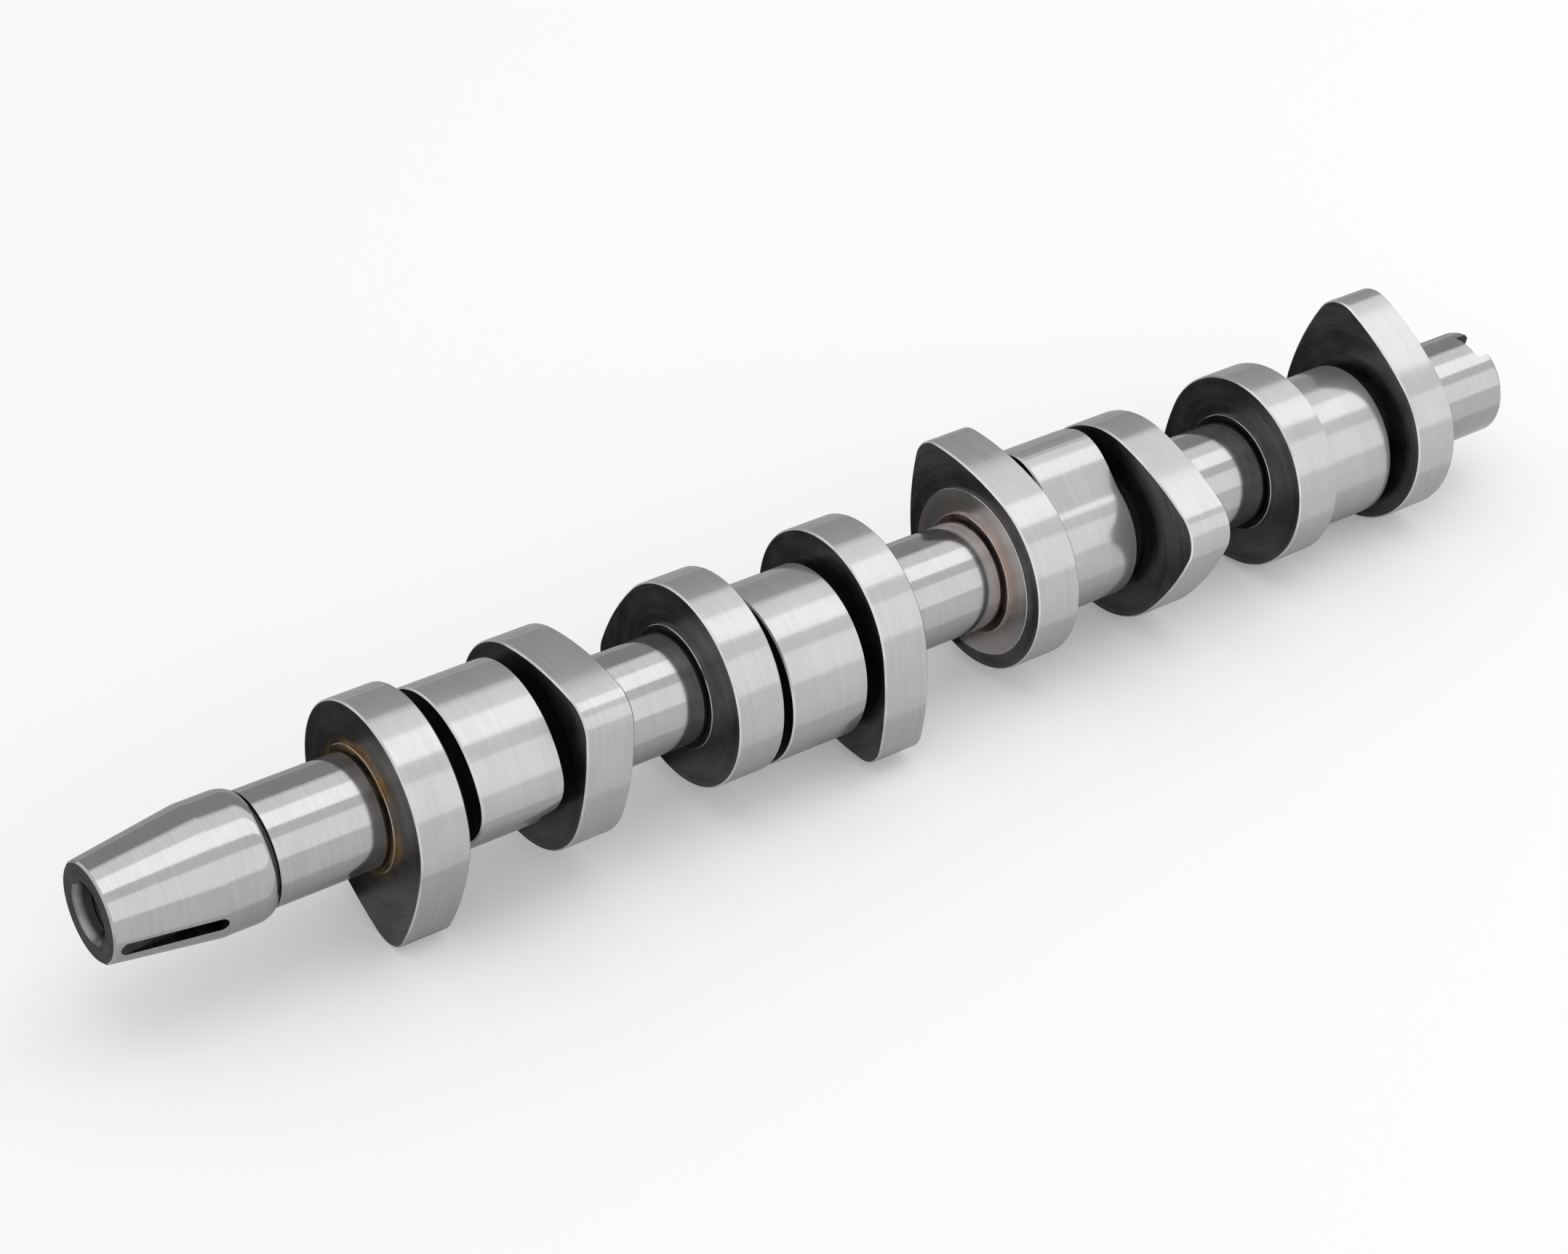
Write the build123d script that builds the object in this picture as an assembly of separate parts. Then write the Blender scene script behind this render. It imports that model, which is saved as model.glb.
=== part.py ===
from build123d import *
from math import acos, atan2, cos, degrees, radians, sin, tan
import os

# Camshaft of a four-cylinder diesel engine, turned and ground from one piece.
# It is drawn in its own shaft frame first: X runs along the axis from the nose face to the tail,
# and angles turn from +Y towards +Z, which is also the way the shaft turns in the engine.
# At the end the shaft is laid down on its lobes.

# Stretches along the shaft
cylinder_pitch = 88.0
nose_length = 27.0
collar_width = 10.0
collar_chamfer_width = 2.4
groove_width = 0.9
front_space = 32.5
tail_length = 31.3
lobe_gap = 3.85

# Each cylinder's lobes stand a little off its centre, away from the middle bearing
group_offset = 1.78

# Taper and collar at the nose
collar_radius = 16.0
taper_angle = 7.8
nose_chamfer = 0.5

# Bearing journals, and the reliefs, low rings and thrust faces beside them
journal_radius = 14.2
ring_height = 1.7
ring_width = 0.9
relief_width = 0.8
relief_depth = 0.5
thrust_radius = 22.2
thrust_height = 0.8
tail_chamfer = 1.5

# Thin core between the three lobes of one cylinder, and the fine chamfers on the lobes' rims
core_radius = 15.0
lobe_chamfer = 0.4

# Valve lobes: base circle, lift, nose arc and flank arcs
valve_base_radius = 26.3
valve_lift = 8.85
valve_lobe_width = 13.1
exhaust_nose_radius = 9.6
exhaust_flank_radius = 77.0
intake_nose_radius = 8.5
intake_flank_radius = 70.0

# Injector lobes: a short steep rise, a short dwell and a long gentle fall, in degrees
injector_base_radius = 18.1
injector_lift = 8.1
injector_lobe_width = 22.3
injector_rise = 55.0
injector_dwell = 8.0
injector_fall = 218.0

# Angles of the lobes of cylinder 1, and the order in which the cylinders fire
exhaust_angle = 290.7
lobe_separation = 112.1
injector_angle = 254.0
firing_order = (1, 3, 4, 2)

# Threaded hole for the hub bolt, M12 x 1.5, behind a countersink
thread_core_radius = 5.2
thread_depth = 34.0
countersink_width = 2.6
countersink_angle = 60.0

# Groove for the hub's key, milled level with the axis, so it runs out near the nose face
key_width = 4.0
key_depth = 3.55
key_end_gap = 0.5
key_angle = 236.5

# Cross slot in the tail, with a centre hole in its floor
slot_width = 9.0
slot_depth = 5.1
slot_angle = 140.5
centre_radius = 3.2
centre_depth = 3.4

# How the shaft lies: rolled about its axis and tail down a little, resting on three lobes
rest_roll = -40.87
rest_tilt = 1.34

# Arcs that follow the rise and the fall of an injector lobe
rise_arcs = 4
fall_arcs = 8

# What follows from the sizes above
cylinder_count = len(firing_order)
middle = cylinder_count // 2
firing_step = 360 / cylinder_count
nose_face_radius = collar_radius - nose_length * tan(radians(taper_angle))
collar_end = nose_length + collar_width
groove_start = collar_end + collar_chamfer_width
ring_radius = journal_radius + ring_height
relief_radius = journal_radius - relief_depth
group_length = 2 * valve_lobe_width + injector_lobe_width + 2 * lobe_gap
group_starts = [collar_end + front_space + i * cylinder_pitch for i in range(cylinder_count)]
group_starts = [start + (2 * group_offset if i >= middle else 0) for i, start in enumerate(group_starts)]
total_length = group_starts[-1] + group_length + tail_length
slot_floor = total_length - slot_depth
mouth_radius = thread_core_radius + countersink_width
injector_dwell_end = injector_rise + injector_dwell
injector_fall_end = injector_dwell_end + injector_fall


def polar(radius, angle, x=0, y=0):
    return (x + radius * cos(radians(angle)), y + radius * sin(radians(angle)))


def cone_length(large_radius, small_radius, full_angle):
    return (large_radius - small_radius) / tan(radians(full_angle / 2))


# Outline of the turned shaft from the middle of a lobe outwards to the journal beside it, as
# distances from the lobe's side face and radii. Only the lobes at the middle bearing have a
# thrust face.
def shoulder(has_thrust_face):
    step_height = thrust_height if has_thrust_face else 0
    step_radius = thrust_radius if has_thrust_face else ring_radius
    ring_end = step_height + ring_width
    relief_end = ring_end + relief_width
    steps = [(-valve_lobe_width / 2, core_radius), (-valve_lobe_width / 2, step_radius)]
    if has_thrust_face:
        steps += [(step_height, step_radius), (step_height, ring_radius)]
    steps += [(ring_end, ring_radius), (ring_end, relief_radius)]
    return steps + [(relief_end, relief_radius), (relief_end, journal_radius)]


# The nose hole, the nose, the journals and the tail, as one outline turned about the axis
def turned_shaft():
    sink_depth = cone_length(mouth_radius, thread_core_radius, countersink_angle)
    outline = [(thread_depth, 0), (thread_depth, thread_core_radius), (sink_depth, thread_core_radius)]
    outline += [(0, mouth_radius), (0, nose_face_radius - nose_chamfer), (nose_chamfer, nose_face_radius)]
    outline += [(nose_length, collar_radius), (collar_end, collar_radius), (groove_start, journal_radius)]
    outline += [(groove_start, relief_radius), (groove_start + groove_width, relief_radius)]
    outline += [(groove_start + groove_width, journal_radius)]
    for i, start in enumerate(group_starts):
        end = start + group_length
        outline += [(start - distance, radius) for distance, radius in reversed(shoulder(i == middle))]
        outline += [(end + distance, radius) for distance, radius in shoulder(i == middle - 1)]
    outline += [(total_length - tail_chamfer, journal_radius), (total_length, journal_radius - tail_chamfer)]
    outline += [(total_length, centre_radius), (slot_floor - centre_depth, centre_radius)]
    outline += [(slot_floor - centre_depth, 0)]
    return revolve(make_face(Polyline(outline, close=True)), Axis.X)


# Base circle, nose and two flanks as four arcs that meet in tangents, with the nose towards
# local +X. Each flank's centre lies across the axis from its flank.
def valve_outline(nose_radius, flank_radius):
    nose_centre = valve_base_radius + valve_lift - nose_radius
    to_base = flank_radius - valve_base_radius
    to_nose = flank_radius - nose_radius
    turn = acos((nose_centre**2 + to_base**2 - to_nose**2) / (2 * nose_centre * to_base))
    flank_x = to_base * cos(turn)
    flank_y = -to_base * sin(turn)
    base_angle = degrees(atan2(-flank_y, -flank_x))
    nose_angle = degrees(atan2(-flank_y, nose_centre - flank_x))
    base_end = polar(valve_base_radius, base_angle)
    flank_middle = polar(flank_radius, (base_angle + nose_angle) / 2, flank_x, flank_y)
    nose_end = polar(nose_radius, nose_angle, nose_centre)
    flank = ThreePointArc(base_end, flank_middle, nose_end)
    other_flank = mirror(flank, Plane.XZ)
    nose = ThreePointArc(nose_end, (nose_centre + nose_radius, 0), other_flank @ 1)
    back = ThreePointArc(other_flank @ 0, (-valve_base_radius, 0), base_end)
    return make_face([flank, nose, other_flank, back])


# Radius of an injector lobe at an angle counted from the start of its rise, in the order in which
# the follower meets it. Rise and fall are half cosine waves, level at both ends.
def injector_radius(angle):
    if angle < injector_rise:
        share = angle / injector_rise
    elif angle < injector_dwell_end:
        share = 1
    elif angle < injector_fall_end:
        share = (injector_fall_end - angle) / injector_fall
    else:
        share = 0
    return injector_base_radius + injector_lift * (1 - cos(radians(180 * share))) / 2


# The rise starts at local +X and runs against the turning direction, as the follower meets it.
# Each arc runs through three points of the curve, and dwell and base circle are one arc each.
def injector_outline():
    stretches = [(0, injector_rise, rise_arcs), (injector_rise, injector_dwell_end, 1)]
    stretches += [(injector_dwell_end, injector_fall_end, fall_arcs), (injector_fall_end, 360, 1)]
    arcs = []
    for start, end, count in stretches:
        step = (end - start) / count
        for i in range(count):
            angles = [start + (i + share) * step for share in (0, 0.5, 1)]
            arcs.append(ThreePointArc([polar(injector_radius(angle), -angle) for angle in angles]))
    return make_face(arcs)


# A lobe is its outline made into a disc from start on, turned to its angle, with fine chamfers
# along both rims.
def lobe(outline, start, width, angle):
    disc = extrude(Plane.YZ * outline, width)
    disc = chamfer(disc.faces().filter_by(Axis.X).edges(), lobe_chamfer)
    return Pos(start, 0, 0) * Rot(angle, 0, 0) * disc


# The three lobes of one cylinder. The exhaust lobe is the outer one, away from the middle bearing.
def cylinder_lobes(index):
    phase = -firing_step * firing_order.index(index + 1)
    start = group_starts[index]
    injector_start = start + valve_lobe_width + lobe_gap
    last_start = start + group_length - valve_lobe_width
    exhaust_start, intake_start = (start, last_start) if index < middle else (last_start, start)
    exhaust = valve_outline(exhaust_nose_radius, exhaust_flank_radius)
    intake = valve_outline(intake_nose_radius, intake_flank_radius)
    return [
        lobe(exhaust, exhaust_start, valve_lobe_width, exhaust_angle + phase),
        lobe(intake, intake_start, valve_lobe_width, exhaust_angle - lobe_separation + phase),
        lobe(injector_outline(), injector_start, injector_lobe_width, injector_angle + phase),
    ]


# A round-ended cutter pass on +Y, turned to the groove's angle
def key_groove():
    floor = collar_radius - key_depth
    round_centre = nose_length - key_end_gap - key_width / 2
    height = collar_radius
    straight = Pos(round_centre / 2, floor + height / 2, 0) * Box(round_centre, height, key_width)
    round_end = Pos(round_centre, floor + height / 2, 0) * Rot(90, 0, 0) * Cylinder(key_width / 2, height)
    return Rot(key_angle, 0, 0) * (straight + round_end)


def tail_slot():
    across = 2 * collar_radius
    return Rot(slot_angle, 0, 0) * Pos(total_length, 0, 0) * Box(2 * slot_depth, across, slot_width)


shaft = turned_shaft()
for index in range(cylinder_count):
    shaft += cylinder_lobes(index)
shaft -= [key_groove(), tail_slot()]

# Laid down as it rests, with the middle of its footprint at the origin
shaft = Rot(0, rest_tilt, 0) * Rot(rest_roll, 0, 0) * shaft
bounds = shaft.bounding_box()
shaft = Pos(-bounds.center().X, -bounds.center().Y, -bounds.min.Z) * shaft

os.makedirs("parts", exist_ok=True)
export_step(shaft, "parts/camshaft.step")
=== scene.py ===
import bpy
from math import acos, atan2, cos, degrees, pi, radians, sin, tan
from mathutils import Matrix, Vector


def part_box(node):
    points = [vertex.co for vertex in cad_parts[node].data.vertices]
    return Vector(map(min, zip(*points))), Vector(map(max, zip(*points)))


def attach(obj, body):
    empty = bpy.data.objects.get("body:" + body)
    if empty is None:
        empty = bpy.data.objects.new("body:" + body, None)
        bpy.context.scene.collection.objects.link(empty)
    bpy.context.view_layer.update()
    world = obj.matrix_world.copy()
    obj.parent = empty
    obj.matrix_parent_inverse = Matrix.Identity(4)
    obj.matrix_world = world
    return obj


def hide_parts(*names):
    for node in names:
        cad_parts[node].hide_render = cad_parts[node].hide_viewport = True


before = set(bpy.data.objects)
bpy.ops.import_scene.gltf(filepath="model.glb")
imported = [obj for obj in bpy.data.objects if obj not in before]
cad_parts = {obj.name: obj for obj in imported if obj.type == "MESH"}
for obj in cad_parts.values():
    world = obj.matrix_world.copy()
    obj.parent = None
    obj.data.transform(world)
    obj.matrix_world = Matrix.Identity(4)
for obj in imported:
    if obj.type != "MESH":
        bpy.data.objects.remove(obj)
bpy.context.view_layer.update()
mm = 0.001
near = 1e-6  # metres within which two places count as one

# The turned shaft, in millimetres along its axis from the nose face
shaft = {
    "segments": 144,
    "pitch": 88.0,
    "noseLength": 27.0,
    "taper": 7.8,
    "collarRadius": 16.0,
    "collarWidth": 10.0,
    "collarChamfer": 2.4,
    "collarRound": 1.0,
    "collarEndRadius": 14.9,
    "roundSteps": 10,
    "grooveWidth": 0.9,
    "frontSpace": 32.5,
    "tailLength": 31.3,
    "lobeGap": 3.85,
    "groupOffset": 1.78,
    "journalRadius": 14.2,
    "ringHeight": 1.7,
    "ringWidth": 0.9,
    "reliefWidth": 0.8,
    "reliefDepth": 0.5,
    "thrustRadius": 22.2,
    "thrustHeight": 0.8,
    "coreRadius": 15.0,
    "noseChamfer": 0.5,
    "tailChamfer": 1.5,
    "edge": 0.15,
    "sliver": 0.003,
    "smoothAngle": 5.5,
}

# Lobes that work the valves. The step is in degrees of the surface's direction.
valveLobe = {
    "width": 13.1,
    "baseRadius": 26.3,
    "lift": 8.85,
    "exhaust": {"nose": 9.6, "flank": 77.0},
    "intake": {"nose": 8.5, "flank": 70.0},
    "exhaustAngle": 290.7,
    "separation": 112.1,
    "edge": 0.4,
    "step": 3.0,
}

# Wider lobes between them. Rise, dwell and fall are in degrees.
injectorLobe = {
    "width": 22.3,
    "baseRadius": 18.1,
    "lift": 8.1,
    "rise": 55.0,
    "dwell": 8.0,
    "fall": 218.0,
    "angle": 254.0,
    "edge": 0.4,
    "points": 144,
}

# The thread's pitch is in millimetres, and its lead and half width are in pitches
boltHole = {
    "coreRadius": 5.2,
    "depth": 34.0,
    "sinkWidth": 2.6,
    "sinkAngle": 60.0,
    "drillAngle": 118.0,
    "threadRadius": 6.0,
    "threadPitch": 1.5,
    "threadLength": 26.0,
    "threadSteps": 48,
    "threadLead": 1.5,
    "threadHalf": 0.44,
    "threadOverlap": 0.1,
}

tailSlot = {"width": 9.0, "depth": 5.1, "across": 40.0, "angle": 140.5}
centreHole = {"radius": 3.2, "angle": 60.0, "pilotRadius": 1.25, "pilotLength": 2.0}
rest = {"roll": -40.87, "tilt": 1.34}
firing = (1, 3, 4, 2)


def deselectAll():
    bpy.ops.object.select_all(action="DESELECT")


def onlySelect(thing):
    deselectAll()
    thing.select_set(True)
    bpy.context.view_layer.objects.active = thing


def applyPlace():
    bpy.ops.object.transform_apply(location=True, rotation=True, scale=True)


def editAll():
    bpy.ops.object.mode_set(mode="EDIT")
    bpy.ops.mesh.select_all(action="SELECT")


# The last step in edit mode
def faceOutwards():
    bpy.ops.mesh.select_all(action="SELECT")
    bpy.ops.mesh.normals_make_consistent(inside=False)
    bpy.ops.object.mode_set(mode="OBJECT")


def extrudeRing(along):
    bpy.ops.mesh.extrude_edges_move(TRANSFORM_OT_translate={"value": (along * mm, 0, 0)})


def extrudeFace(along, up):
    bpy.ops.mesh.extrude_region_move(TRANSFORM_OT_translate={"value": (along * mm, up * mm, 0)})


def polar(radius, angle, x=0.0, y=0.0):
    return (x + radius * cos(radians(angle)), y + radius * sin(radians(angle)))


def coneLength(large, small, fullAngle):
    return (large - small) / tan(radians(fullAngle / 2))


# Where the lobe groups stand, the whole length, and sizes that several steps use
middleGroup = len(firing) // 2
groupLength = 2 * valveLobe["width"] + injectorLobe["width"] + 2 * shaft["lobeGap"]
firstGroup = shaft["noseLength"] + shaft["collarWidth"] + shaft["frontSpace"]
groups = [firstGroup + i * shaft["pitch"] + (2 * shaft["groupOffset"] if i >= middleGroup else 0)
          for i in range(len(firing))]
wholeLength = groups[-1] + groupLength + shaft["tailLength"]
ringRadius = shaft["journalRadius"] + shaft["ringHeight"]
reliefRadius = shaft["journalRadius"] - shaft["reliefDepth"]
mouthRadius = boltHole["coreRadius"] + boltHole["sinkWidth"]
sinkDepth = coneLength(mouthRadius, boltHole["coreRadius"], boltHole["sinkAngle"])


# Steps from the middle of a lobe out to the journal beside it: thrust face, low ring, relief
def shoulder(thrust):
    edge = shaft["edge"]
    height = shaft["thrustHeight"] if thrust else 0
    inside = -valveLobe["width"] / 2
    steps = [(inside, shaft["coreRadius"])]
    if thrust:
        steps += [(inside, shaft["thrustRadius"]), (height - edge, shaft["thrustRadius"])]
        steps += [(height, shaft["thrustRadius"] - edge), (height, ringRadius)]
    else:
        steps += [(inside, ringRadius)]
    ringEnd = height + shaft["ringWidth"]
    reliefEnd = ringEnd + shaft["reliefWidth"]
    steps += [(ringEnd - edge, ringRadius), (ringEnd, ringRadius - edge), (ringEnd, reliefRadius)]
    steps += [(reliefEnd, reliefRadius), (reliefEnd, shaft["journalRadius"] - edge)]
    return steps + [(reliefEnd + edge, shaft["journalRadius"])]


# The collar's rear end curves down like part of a circle that leaves the collar level
def roundedEnd(start, end):
    top, steps = shaft["collarRadius"], shaft["roundSteps"]
    angle = 2 * atan2(top - shaft["collarEndRadius"], end - start)
    radius = (end - start) / sin(angle)
    turns = [angle * i / steps for i in range(steps + 1)]
    return [(start + radius * sin(turn), top - radius * (1 - cos(turn))) for turn in turns]


# The whole turned outline, from the bottom of the bolt hole over the shaft to the centre hole
def shaftOutline():
    hole = boltHole
    tip = hole["depth"] + coneLength(hole["coreRadius"], 0, hole["drillAngle"])
    face = shaft["collarRadius"] - shaft["noseLength"] * tan(radians(shaft["taper"]))
    collarEnd = shaft["noseLength"] + shaft["collarWidth"]
    groove = collarEnd + shaft["collarChamfer"]
    grooveEnd = groove + shaft["grooveWidth"]
    journal = shaft["journalRadius"]
    edge = shaft["edge"]
    outline = [(tip, 0), (hole["depth"], hole["coreRadius"]), (sinkDepth, hole["coreRadius"])]
    outline += [(0, mouthRadius), (0, face - shaft["noseChamfer"]), (shaft["noseChamfer"], face)]
    outline += [(shaft["noseLength"], shaft["collarRadius"])]
    outline += roundedEnd(collarEnd - shaft["collarRound"], groove)
    outline += [(groove, reliefRadius), (grooveEnd, reliefRadius)]
    outline += [(grooveEnd, journal - edge), (grooveEnd + edge, journal)]
    for i, start in enumerate(groups):
        before, behind = shoulder(i == middleGroup), shoulder(i == middleGroup - 1)
        outline += [(start - along, radius) for along, radius in reversed(before)]
        outline += [(start + groupLength + along, radius) for along, radius in behind]
    floor = wholeLength - tailSlot["depth"]
    pilotRadius = centreHole["pilotRadius"]
    pilot = floor - coneLength(centreHole["radius"], pilotRadius, centreHole["angle"])
    pilotEnd = pilot - centreHole["pilotLength"]
    pilotTip = pilotEnd - coneLength(pilotRadius, 0, hole["drillAngle"])
    outline += [(wholeLength - shaft["tailChamfer"], journal)]
    outline += [(wholeLength, journal - shaft["tailChamfer"])]
    outline += [(wholeLength, centreHole["radius"]), (floor, centreHole["radius"])]
    return outline + [(pilot, pilotRadius), (pilotEnd, pilotRadius), (pilotTip, 0)]


# A ring is drawn out station by station, as on a lathe, and closed to a point at both ends
def turnShaft():
    outline = shaftOutline()
    x, radius = outline[1]
    deselectAll()
    bpy.ops.mesh.primitive_circle_add(vertices=shaft["segments"], radius=radius * mm,
                                      location=(x * mm, 0, 0), rotation=(0, pi / 2, 0))
    turned = bpy.context.object
    turned.name = "camshaftBody"
    applyPlace()
    editAll()
    extrudeRing(outline[0][0] - x)
    bpy.ops.mesh.merge(type="CENTER")
    bpy.ops.object.mode_set(mode="OBJECT")
    for vertex in turned.data.vertices:
        vertex.select = abs(vertex.co.x - x * mm) < near
    bpy.ops.object.mode_set(mode="EDIT")
    bpy.ops.mesh.select_mode(type="VERT")
    for nextX, nextRadius in outline[2:-1]:
        extrudeRing(nextX - x)
        grow = nextRadius / radius
        bpy.ops.transform.resize(value=(1, grow, grow), center_override=(nextX * mm, 0, 0))
        x, radius = nextX, nextRadius
    extrudeRing(outline[-1][0] - x)
    bpy.ops.mesh.merge(type="CENTER")
    faceOutwards()
    return turned


# Points of an arc about (x, y), without the last one
def arcPoints(radius, low, high, x=0.0, y=0.0):
    count = round((high - low) / valveLobe["step"])
    return [polar(radius, low + (high - low) * i / count, x, y) for i in range(count)]


# Base circle, nose and flanks as tangent arcs, walked in equal steps of the surface's direction
def valveOutline(kind):
    base, nose, flank = valveLobe["baseRadius"], kind["nose"], kind["flank"]
    noseCentre = base + valveLobe["lift"] - nose
    toBase, toNose = flank - base, flank - nose
    turn = acos((noseCentre**2 + toBase**2 - toNose**2) / (2 * noseCentre * toBase))
    flankX, flankY = toBase * cos(turn), -toBase * sin(turn)
    baseEnd = degrees(atan2(-flankY, -flankX))
    noseEnd = degrees(atan2(-flankY, noseCentre - flankX))
    half = arcPoints(nose, 0, noseEnd, noseCentre)
    half += arcPoints(flank, noseEnd, baseEnd, flankX, flankY)
    half += arcPoints(base, baseEnd, 180) + [polar(base, 180)]
    return half + [(x, -y) for x, y in reversed(half[1:-1])]


# The follower meets falling angles: a short steep rise, a short dwell and a long gentle fall
def injectorOutline():
    dwellEnd = injectorLobe["rise"] + injectorLobe["dwell"]
    fallEnd = dwellEnd + injectorLobe["fall"]
    outline = []
    for i in range(injectorLobe["points"]):
        angle = 360 * i / injectorLobe["points"]
        if angle < injectorLobe["rise"]:
            share = angle / injectorLobe["rise"]
        elif angle < dwellEnd:
            share = 1
        elif angle < fallEnd:
            share = (fallEnd - angle) / injectorLobe["fall"]
        else:
            share = 0
        radius = injectorLobe["baseRadius"] + injectorLobe["lift"] * (1 - cos(pi * share)) / 2
        outline.append(polar(radius, -angle))
    return outline


# A disc on the axis is pulled to the outline, drawn out to its width and broken at both rims
def makeLobe(outline, lobe, start, angle):
    deselectAll()
    bpy.ops.mesh.primitive_circle_add(vertices=len(outline), radius=outline[0][0] * mm,
                                      fill_type="NGON", location=(0, 0, 0))
    disc = bpy.context.object
    for vertex, (across, up) in zip(disc.data.vertices, outline):
        vertex.co = (0, across * mm, up * mm)
    editAll()
    extrudeFace(lobe["width"], 0)
    bpy.ops.object.mode_set(mode="OBJECT")
    for side in disc.data.edges:
        ends = [disc.data.vertices[i].co.x for i in side.vertices]
        side.select = abs(ends[0] - ends[1]) < near
    bpy.ops.object.mode_set(mode="EDIT")
    bpy.ops.mesh.select_mode(type="EDGE")
    bpy.ops.mesh.bevel(offset=lobe["edge"] * mm, segments=1, affect="EDGES")
    faceOutwards()
    disc.rotation_euler.x = radians(angle)
    disc.location.x = start * mm
    applyPlace()
    return disc


def combine(thing, tool, operation):
    onlySelect(thing)
    joining = thing.modifiers.new("joining", "BOOLEAN")
    joining.operation = operation
    joining.solver = "EXACT"
    joining.object = tool
    bpy.ops.object.modifier_apply(modifier="joining")
    bpy.data.objects.remove(tool, do_unlink=True)


print("turning the shaft")
body = turnShaft()
print("faces", len(body.data.polygons))

# The exhaust lobe is the outer one of each group, away from the middle bearing
print("grinding the lobes")
for i, start in enumerate(groups):
    phase = -360 / len(firing) * firing.index(i + 1)
    last = start + groupLength - valveLobe["width"]
    exhaustStart, intakeStart = (start, last) if i < middleGroup else (last, start)
    exhaustAngle = valveLobe["exhaustAngle"] + phase
    intakeAngle = exhaustAngle - valveLobe["separation"]
    injectorStart = start + valveLobe["width"] + shaft["lobeGap"]
    lobes = [
        (valveOutline(valveLobe["exhaust"]), valveLobe, exhaustStart, exhaustAngle),
        (valveOutline(valveLobe["intake"]), valveLobe, intakeStart, intakeAngle),
        (injectorOutline(), injectorLobe, injectorStart, injectorLobe["angle"] + phase),
    ]
    for lobe in lobes:
        combine(body, makeLobe(*lobe), "UNION")
print("faces", len(body.data.polygons))

keyGroove = {"width": 4.0, "depth": 3.55, "endGap": 0.5, "angle": 236.5,
             "cutterPoints": 48, "cutterHeight": 10.0}


# A round-ended cutter, milled level with the axis
def keyCutter():
    half = keyGroove["width"] / 2
    floor = shaft["collarRadius"] - keyGroove["depth"]
    middle = shaft["noseLength"] - keyGroove["endGap"] - half
    deselectAll()
    bpy.ops.mesh.primitive_circle_add(vertices=keyGroove["cutterPoints"], radius=half * mm,
                                      fill_type="NGON", location=(middle * mm, floor * mm, 0),
                                      rotation=(pi / 2, 0, 0))
    cutter = bpy.context.object
    applyPlace()
    for vertex in cutter.data.vertices:
        if vertex.co.x < middle * mm - near:
            vertex.co.x -= middle * mm
    editAll()
    extrudeFace(0, keyGroove["cutterHeight"])
    faceOutwards()
    cutter.rotation_euler.x = radians(keyGroove["angle"])
    applyPlace()
    return cutter


def slotCutter():
    size = (2 * tailSlot["depth"] * mm, tailSlot["across"] * mm, tailSlot["width"] * mm)
    deselectAll()
    bpy.ops.mesh.primitive_cube_add(size=1, location=(wholeLength * mm, 0, 0), scale=size,
                                    rotation=(radians(tailSlot["angle"]), 0, 0))
    applyPlace()
    return bpy.context.object


# The thread's groove: a three-cornered bar wound round the axis
def threadCutter():
    pitch = boltHole["threadPitch"]
    half = boltHole["threadHalf"] * pitch
    low = boltHole["coreRadius"] - boltHole["threadOverlap"]
    start = sinkDepth - boltHole["threadLead"] * pitch
    deselectAll()
    bpy.ops.mesh.primitive_circle_add(vertices=3, radius=pitch * mm, fill_type="NOTHING")
    cutter = bpy.context.object
    corners = [(start - half, low), (start, boltHole["threadRadius"]), (start + half, low)]
    for vertex, (along, out) in zip(cutter.data.vertices, corners):
        vertex.co = (along * mm, out * mm, 0)
    winding = cutter.modifiers.new("winding", "SCREW")
    winding.axis = "X"
    winding.angle = 2 * pi
    winding.screw_offset = pitch * mm
    winding.iterations = round(boltHole["threadLength"] / pitch)
    winding.steps = boltHole["threadSteps"]
    winding.render_steps = boltHole["threadSteps"]
    winding.use_merge_vertices = False
    bpy.ops.object.modifier_apply(modifier="winding")
    bpy.ops.object.mode_set(mode="EDIT")
    bpy.ops.mesh.select_all(action="DESELECT")
    bpy.ops.mesh.select_mode(type="EDGE")
    bpy.ops.mesh.select_non_manifold()
    bpy.ops.mesh.edge_face_add()
    faceOutwards()
    return cutter


print("cutting the key groove, the tail slot and the thread")
for cutter in (keyCutter, slotCutter, threadCutter):
    combine(body, cutter(), "DIFFERENCE")
print("faces", len(body.data.polygons))


# The cuts leave slivers, which are merged away
def cleanMesh(thing):
    onlySelect(thing)
    editAll()
    bpy.ops.mesh.remove_doubles(threshold=shaft["sliver"] * mm)
    bpy.ops.mesh.dissolve_degenerate(threshold=shaft["sliver"] * mm)
    bpy.ops.mesh.select_all(action="DESELECT")
    bpy.ops.mesh.select_mode(type="EDGE")
    bpy.ops.mesh.select_non_manifold()
    bpy.ops.object.mode_set(mode="OBJECT")
    openEdges = sum(side.select for side in thing.data.edges)
    print("faces", len(thing.data.polygons), "open edges", openEdges)


cleanMesh(body)

# Each finish has its own slot on the shaft
finishes = ["groundJournal", "groundLobe", "brokenEdge", "turnedFace", "lobeSide", "countersink",
            "paintedShadeRecess"]
for name in finishes:
    body.data.materials.append(bpy.data.materials.new(name))

lobeSpans = []
for start in groups:
    for width in (valveLobe["width"], injectorLobe["width"], valveLobe["width"]):
        lobeSpans.append((start, start + width))
        start += width + shaft["lobeGap"]

# How surfaces are told apart: flat and slanted are shares of a face's direction that point along
# the axis, and the rest is in millimetres from the size that each is added to
sorting = {
    "flat": 0.99,
    "slanted": 0.5,
    "skin": 0.1,
    "close": 0.02,
    "lobeMargin": 0.05,
    "aboveRing": 0.2,
    "keyStart": 0.6,
    "holeEnd": 15,
    "grooveStart": 1,
    "tailStart": 5,
}


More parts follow.
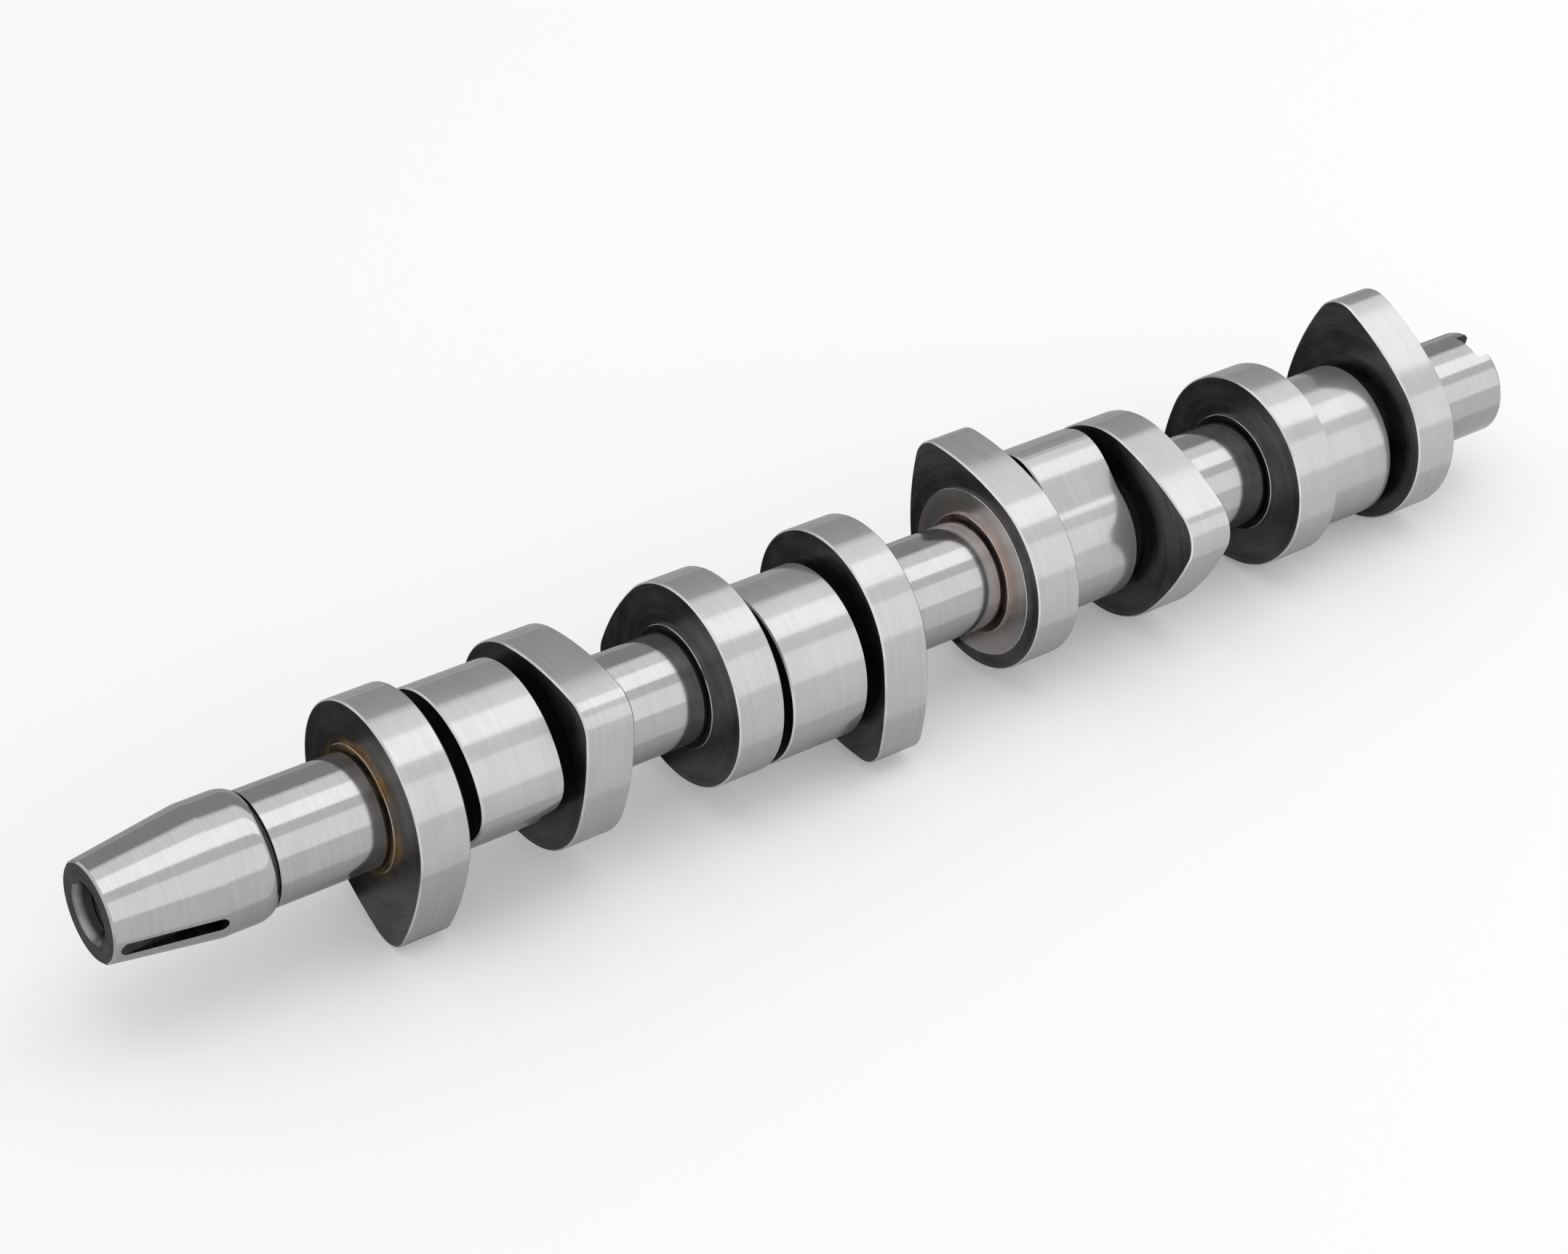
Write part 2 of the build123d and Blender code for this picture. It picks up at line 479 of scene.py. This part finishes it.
def finishOf(middle, normal):
    x, radius = middle.x / mm, (middle.y**2 + middle.z**2) ** 0.5 / mm
    skin, close, margin = sorting["skin"], sorting["close"], sorting["lobeMargin"]
    noseLength, holeRadius = shaft["noseLength"], boltHole["coreRadius"]
    flat = abs(normal.x) > sorting["flat"]
    cone = shaft["collarRadius"] - (noseLength - x) * tan(radians(shaft["taper"]))
    if skin < x < sinkDepth and holeRadius + skin < radius < mouthRadius:
        return "countersink"
    # Faces in the bolt hole, key way, grooves and between the lobes take the recess colour, which is
    # painted shade
    if skin < x < noseLength + sorting["holeEnd"] and radius < mouthRadius:
        return "paintedShadeRecess"
    if sorting["keyStart"] < x < noseLength and radius < cone - skin:
        return "paintedShadeRecess"
    if flat and any(abs(x - end) < close for span in lobeSpans for end in span):
        return "lobeSide"
    tailStart = groups[-1] + groupLength + sorting["tailStart"]
    if flat and skin < x < tailStart and radius < ringRadius:
        return "paintedShadeRecess"
    if flat:
        return "turnedFace"
    onLobe = any(low - margin < x < high + margin for low, high in lobeSpans)
    if onLobe and radius > ringRadius + sorting["aboveRing"]:
        return "brokenEdge" if abs(normal.x) > sorting["slanted"] else "groundLobe"
    if radius < shaft["journalRadius"] - close and x > noseLength + sorting["grooveStart"]:
        return "paintedShadeRecess"
    if abs(radius - shaft["coreRadius"]) < skin and x > firstGroup:
        return "paintedShadeRecess"
    return "groundJournal"


print("sorting the surfaces by finish")
onlySelect(body)
faceFinishes = [finishOf(face.center, face.normal) for face in body.data.polygons]
for slot, name in enumerate(finishes):
    bpy.ops.object.mode_set(mode="EDIT")
    bpy.ops.mesh.select_mode(type="FACE")
    bpy.ops.mesh.select_all(action="DESELECT")
    bpy.ops.object.mode_set(mode="OBJECT")
    for face, finish in zip(body.data.polygons, faceFinishes):
        face.select = finish == name
    body.active_material_index = slot
    bpy.ops.object.mode_set(mode="EDIT")
    bpy.ops.object.material_slot_assign()
    bpy.ops.object.mode_set(mode="OBJECT")
    print(name, faceFinishes.count(name))
bpy.ops.object.shade_smooth_by_angle(angle=radians(shaft["smoothAngle"]), keep_sharp_edges=False)

# Laid down as it rests on three lobes, in the place of the CAD solid
body.rotation_mode = "XYZ"
body.rotation_euler.x = radians(rest["roll"])
applyPlace()
body.rotation_euler.y = radians(rest["tilt"])
applyPlace()
low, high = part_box("camshaft")
places = [vertex.co for vertex in body.data.vertices]
for axis in range(3):
    own = [place[axis] for place in places]
    body.location[axis] = (low[axis] + high[axis] - min(own) - max(own)) / 2
noseFace = body.location.copy()
applyPlace()
print("nose face centre", [round(value / mm, 3) for value in noseFace])
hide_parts("camshaft")
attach(body, "root")

nodeStep = 200  # how far apart the nodes are laid out, in rows of so many
nodeRow = 12


# A socket that can be used in sums, and that adds the nodes which work them out
class Wire:
    def __init__(self, tree, socket=None):
        self.tree = tree
        self.socket = socket

    def node(self, kind, settings=None, inputs=None, output=0):
        row, column = divmod(len(self.tree.nodes), nodeRow)
        made = self.tree.nodes.new("ShaderNode" + kind)
        made.location = (nodeStep * column, -nodeStep * row)
        for key, value in (settings or {}).items():
            setattr(made, key, value)
        for key, value in (inputs or {}).items():
            if isinstance(value, Wire):
                self.tree.links.new(value.socket, made.inputs[key])
            else:
                made.inputs[key].default_value = value
        return Wire(self.tree, made.outputs[output] if len(made.outputs) else None)

    def maths(self, operation, first, second=0.0):
        return self.node("Math", {"operation": operation}, {0: first, 1: second})

    def __add__(self, other):
        return self.maths("ADD", self, other)

    def __radd__(self, other):
        return self.maths("ADD", other, self)

    def __sub__(self, other):
        return self.maths("SUBTRACT", self, other)

    def __rsub__(self, other):
        return self.maths("SUBTRACT", other, self)

    def __mul__(self, other):
        return self.maths("MULTIPLY", self, other)

    def __rmul__(self, other):
        return self.maths("MULTIPLY", other, self)

    def __pow__(self, other):
        return self.maths("POWER", self, other)


def emptyTree(owner):
    owner.use_nodes = True
    owner.node_tree.nodes.clear()
    return Wire(owner.node_tree)


def grey(value):
    return (value, value, value, 1.0)


# Colours of the ground and turned steel, how rough it is, and its grinding lines for each
# millimetre: along the shaft on the round faces, outwards on the flat ones. Haze is the share of a
# second, rougher metal, the veil, that softens what a face mirrors.
steel = {
    "groundJournal": {
        "light": (0.44, 0.433, 0.43, 1), "dark": (0.40, 0.388, 0.382, 1), "rough": 0.115,
        "roughSpread": 0.06, "lines": 4.5, "coarse": 1.1, "relief": 0.05, "flat": False,
    },
    "groundLobe": {
        "light": (0.50, 0.495, 0.495, 1), "dark": (0.45, 0.442, 0.438, 1), "rough": 0.14,
        "roughSpread": 0.06, "lines": 3.6, "coarse": 0.9, "relief": 0.1, "flat": False,
        "haze": 0.35, "veil": 0.55,
    },
    "brokenEdge": {
        "light": (0.78, 0.775, 0.77, 1), "dark": (0.5, 0.49, 0.48, 1), "rough": 0.3,
        "roughSpread": 0.1, "lines": 2.0, "coarse": 0.3, "relief": 0.1, "flat": False,
    },
    "turnedFace": {
        "light": (0.70, 0.69, 0.68, 1), "dark": (0.55, 0.535, 0.525, 1), "rough": 0.29,
        "roughSpread": 0.12, "lines": 2.2, "coarse": 0.8, "relief": 0.12, "flat": True,
    },
    "lobeSide": {
        "light": (0.165, 0.161, 0.16, 1), "dark": (0.088, 0.085, 0.084, 1), "rough": 0.34,
        "roughSpread": 0.14, "lines": 1.2, "coarse": 0.3, "relief": 0.25, "flat": True,
    },
    "countersink": {
        "light": (0.32, 0.31, 0.3, 1), "dark": (0.17, 0.165, 0.16, 1), "rough": 0.2,
        "roughSpread": 0.12, "lines": 2.2, "coarse": 0.8, "relief": 0.2, "flat": False,
    },
    # Painted shade: a near-black colour for the hollows, grooves, key way and bolt hole, where shade
    # falls
    "paintedShadeRecess": {
        "light": (0.05, 0.047, 0.045, 1), "dark": (0.018, 0.017, 0.016, 1), "rough": 0.45,
        "roughSpread": 0.2, "lines": 1.5, "coarse": 0.5, "relief": 0.4, "flat": False,
    },
}

# Noise that all finishes share. Fine and coarse are the grinding lines, drawn out round the axis,
# and mottle and grain are the same in all directions. The rest says how these are mixed.
patterns = {
    "roundShare": 0.02,
    "fine": {"round": 1, "detail": 4.0, "rough": 0.7},
    "coarse": {"round": 2, "detail": 2.0, "rough": 0.6},
    "mottle": {"scale": 0.16, "detail": 4.0, "rough": 0.55},
    "grain": {"scale": 1.7, "detail": 3.0, "rough": 0.65},
    "bright": {"fine": 0.45, "coarse": 0.3, "mottle": 0.25, "low": 0.36, "high": 0.62},
    "patchy": {"mottle": 0.6, "coarse": 0.4, "low": 0.35, "high": 0.6},
    "height": {"fine": 0.6, "flatGrain": 0.8, "roundGrain": 0.15},
    "bumpDepth": 0.00004,
}

# Heat tint in a ring round a journal, golden or reddish: where along the shaft and how far out,
# how wide both ways with the full strength inside, and how strong
tints = [
    {"along": firstGroup, "reach": 4.0, "full": 1.6, "radius": 16.0, "spread": 3.0,
     "fullSpread": 0.2, "share": 0.85, "colour": (0.34, 0.23, 0.11, 1)},
    {"along": groups[middleGroup], "reach": 4.0, "full": 1.6, "radius": 17.5, "spread": 5.0,
     "fullSpread": 0.2, "share": 0.6, "colour": (0.50, 0.36, 0.31, 1)},
]

# Painted shade darkens the bolt hole from here on inwards
paintedHoleShade = {"from": 0.6, "to": 2.2, "radius": 7.9, "soft": 0.2, "colour": (0.028, 0.026, 0.025, 1)}


# Millimetres along the shaft from the nose face, and across it
def shaftPlace(start):
    tilt = radians(rest["tilt"])
    x, y, z = [-value / mm for value in noseFace]
    moved = (x * cos(tilt) - z * sin(tilt), y, x * sin(tilt) + z * cos(tilt))
    place = start.node("TexCoord", output="Object")
    return start.node("Mapping", {"vector_type": "POINT"},
                      {"Vector": place, "Location": moved, "Rotation": (0, -tilt, 0),
                       "Scale": (1 / mm,) * 3})


def noiseOf(start, place, stretch, pattern):
    drawn = start.node("VectorMath", {"operation": "MULTIPLY"}, {0: place, 1: stretch})
    return start.node("TexNoise", {"noise_dimensions": "3D"},
                      {"Vector": drawn, "Scale": 1.0, "Detail": pattern["detail"],
                       "Roughness": pattern["rough"]}, output="Fac")


# In a Mix node, sockets 6 and 7 are the two colours, and output 2 is the blend
def blendColour(start, share, first, second):
    return start.node("Mix", {"data_type": "RGBA"}, {0: share, 6: first, 7: second}, output=2)


def spreadOut(start, value, low, high):
    return start.node("MapRange", {"interpolation_type": "SMOOTHSTEP"},
                      {"Value": value, "From Min": low, "From Max": high, "To Min": 0.0,
                       "To Max": 1.0})


# 1 within full of a place, and 0 beyond reach
def nearPlace(start, value, place, full, reach):
    return 1.0 - spreadOut(start, start.maths("ABSOLUTE", value - place), full, reach)


def metal(start, colour, rough, bump):
    return start.node("BsdfPrincipled", None, {"Base Color": colour, "Metallic": 1.0,
                                               "Roughness": rough, "Normal": bump})


# Lines that go round the axis are noise which changes fast along it or outwards and slowly round it
def paintSteel(material, look):
    start = emptyTree(material)
    place = shaftPlace(start)
    along, across, up = [start.node("SeparateXYZ", None, {0: place}, output=name) for name in "XYZ"]
    out = (across * across + up * up) ** 0.5
    lead = out if look["flat"] else along
    around = start.node("CombineXYZ", None, {0: lead, 1: across * patterns["roundShare"],
                                             2: up * patterns["roundShare"]})
    fine, coarse = [
        noiseOf(start, around, (look[speed], pattern["round"], pattern["round"]), pattern)
        for speed, pattern in (("lines", patterns["fine"]), ("coarse", patterns["coarse"]))
    ]
    mottle, grain = [
        noiseOf(start, place, (pattern["scale"],) * 3, pattern)
        for pattern in (patterns["mottle"], patterns["grain"])
    ]
    part = patterns["bright"]
    mixed = fine * part["fine"] + coarse * part["coarse"] + mottle * part["mottle"]
    bright = spreadOut(start, mixed, part["low"], part["high"])
    colour = blendColour(start, bright, look["dark"], look["light"])
    # Painted shade deeper in the bolt hole
    holeShadeShare = spreadOut(start, along, paintedHoleShade["from"], paintedHoleShade["to"])
    holeShadeShare = holeShadeShare * spreadOut(start, paintedHoleShade["radius"] - out, 0.0, paintedHoleShade["soft"])
    colour = blendColour(start, holeShadeShare, colour, paintedHoleShade["colour"])
    part = patterns["patchy"]
    mixed = mottle * part["mottle"] + coarse * part["coarse"]
    patchy = spreadOut(start, mixed, part["low"], part["high"])
    for tint in tints:
        here = nearPlace(start, along, tint["along"], tint["full"], tint["reach"])
        ring = nearPlace(start, out, tint["radius"], tint["fullSpread"], tint["spread"])
        colour = blendColour(start, here * ring * patchy * tint["share"], colour, tint["colour"])
    spread = look["roughSpread"]
    rough = look["rough"] + (mottle - 0.5) * spread + (fine - 0.5) * spread
    part = patterns["height"]
    height = fine * part["fine"] + grain * part["flatGrain" if look["flat"] else "roundGrain"]
    bump = start.node("Bump", None, {"Strength": look["relief"], "Distance": patterns["bumpDepth"],
                                     "Height": height})
    surface = metal(start, colour, rough, bump)
    if "haze" in look:
        veil = metal(start, colour, look["veil"], bump)
        surface = start.node("MixShader", None, {0: look["haze"], 1: surface, 2: veil})
    start.node("OutputMaterial", None, {"Surface": surface})


print("painting the steel")
for name, look in steel.items():
    paintSteel(bpy.data.materials[name], look)

# The studio, in metres and degrees. Soft boxes and the standing card face the shaft, and each begins
# and ends at an angle up from the front. Lying cards begin and end so far behind the shaft's middle.
studio = {
    "boxLength": 3.4,
    "boxShift": 0.9,
    "boxHeight": 0.03,
    "floorSize": 12,
    "fill": 0.8,
    "paper": 0.9,
    "glow": 0.2,
    "cardHeight": 0.001,
}
softBoxes = {
    "top": {"low": 66, "high": 97, "distance": 1.5, "light": 0.95},
    "front": {"low": 6, "high": 46, "distance": 1.7, "light": 0.45},
    "rear": {"low": 97, "high": 123, "distance": 1.6, "light": 0.3},
}
standingCard = {"low": 128, "high": 179, "distance": 1.6}
lyingCards = {
    "lyingCard": {"cover": "cardPaper", "near": 0.09, "far": 1.6},
    # Painted shade: these two strips stand in for the shaded floor close behind and beneath the
    # shaft
    "paintedShadowStrip": {"cover": "paintedShadowPaper", "near": 0.008, "far": 0.09},
    "shadedStrip": {"cover": "shadedPaper", "near": -0.045, "far": 0.008},
}
cardGreys = {"cardPaper": 0.46, "paintedShadowPaper": 0.06, "shadedPaper": 0.7}


# Place, turn and width of a box or card that faces the shaft
def facingShape(box):
    middle = radians((box["low"] + box["high"]) / 2)
    width = 2 * box["distance"] * tan(radians((box["high"] - box["low"]) / 2))
    height = box["distance"] * sin(middle) + studio["boxHeight"]
    place = (studio["boxShift"], -box["distance"] * cos(middle), height)
    return place, (pi / 2 - middle, 0, 0), width


# The same for a card that lies on the floor
def lyingShape(card):
    place = (studio["boxShift"], (card["near"] + card["far"]) / 2, studio["cardHeight"])
    return place, (0, 0, 0), card["far"] - card["near"]


# A larger box gets more energy, so that it stays as bright
def addSoftBox(name, box):
    place, turn, width = facingShape(box)
    lamp = bpy.data.lights.new(name, "AREA")
    lamp.shape = "RECTANGLE"
    lamp.size = studio["boxLength"]
    lamp.size_y = width
    lamp.energy = box["light"] * pi * studio["boxLength"] * width
    lampObject = bpy.data.objects.new(name, lamp)
    lampObject.location = place
    lampObject.rotation_euler = turn
    bpy.context.scene.collection.objects.link(lampObject)


# The white surroundings show in the metal too, and the fill is what reaches dull surfaces
def whiteSeen(start):
    rays = ("Is Camera Ray", "Is Glossy Ray", "Is Transmission Ray")
    camera, glossy, through = [start.node("LightPath", output=ray) for ray in rays]
    return camera + glossy + through


# Only the metal shows a card
def addCard(name, cover, shape):
    place, turn, width = shape
    deselectAll()
    bpy.ops.mesh.primitive_plane_add(size=1, location=place, rotation=turn)
    card = bpy.context.object
    card.scale = (studio["boxLength"], width, 1)
    card.name = name
    card.data.materials.append(bpy.data.materials[cover])
    card.visible_camera = False
    card.visible_diffuse = False
    card.visible_shadow = False


print("lights, floor, cards and camera")
for name, box in softBoxes.items():
    addSoftBox(name, box)

world = bpy.data.worlds.new("studio")
bpy.context.scene.world = world
start = emptyTree(world)
shade = blendColour(start, whiteSeen(start), grey(studio["fill"]), grey(1.0))
backdrop = start.node("Background", None, {"Color": shade, "Strength": 1.0})
start.node("OutputWorld", None, {"Surface": backdrop})

deselectAll()
bpy.ops.mesh.primitive_plane_add(size=studio["floorSize"], location=(0, 0, 0))
floor = bpy.context.object
floor.name = "floor"
paper = bpy.data.materials.new("paper")
floor.data.materials.append(paper)
start = emptyTree(paper)
dull = start.node("BsdfDiffuse", None, {"Color": grey(studio["paper"])})
glow = start.node("Emission", None, {"Color": grey(1.0), "Strength": 1.0})
share = whiteSeen(start) * studio["glow"]
covered = start.node("MixShader", None, {0: share, 1: dull, 2: glow})
start.node("OutputMaterial", None, {"Surface": covered})

# One card stands behind the shaft and one lies there, and two strips lie near it and beneath it. The
# strips are painted shade: sheets that stand in for the floor in the shaft's own shade. They give
# the round surfaces their dark edges.
for name, value in cardGreys.items():
    start = emptyTree(bpy.data.materials.new(name))
    dull = start.node("BsdfDiffuse", None, {"Color": grey(value)})
    start.node("OutputMaterial", None, {"Surface": dull})
addCard("standingCard", "cardPaper", facingShape(standingCard))
for name, card in lyingCards.items():
    addCard(name, card["cover"], lyingShape(card))

# Where the photographer stood: the shaft is seen from above its nose, with a long lens
view = {
    "place": (-0.46204, -0.58439, 0.55850),
    "turn": (54.452, -1.191, -36.067),
    "lens": 84.216,
    "sensor": 36.0,
    "nearest": 0.05,
    "farthest": 50,
}
camera = bpy.data.objects.new("camera", bpy.data.cameras.new("camera"))
camera.location = view["place"]
camera.rotation_euler = [radians(turn) for turn in view["turn"]]
camera.data.lens = view["lens"]
camera.data.sensor_width = view["sensor"]
camera.data.clip_start = view["nearest"]
camera.data.clip_end = view["farthest"]
bpy.context.scene.collection.objects.link(camera)
bpy.context.scene.camera = camera
bpy.context.scene.view_settings.view_transform = "Standard"
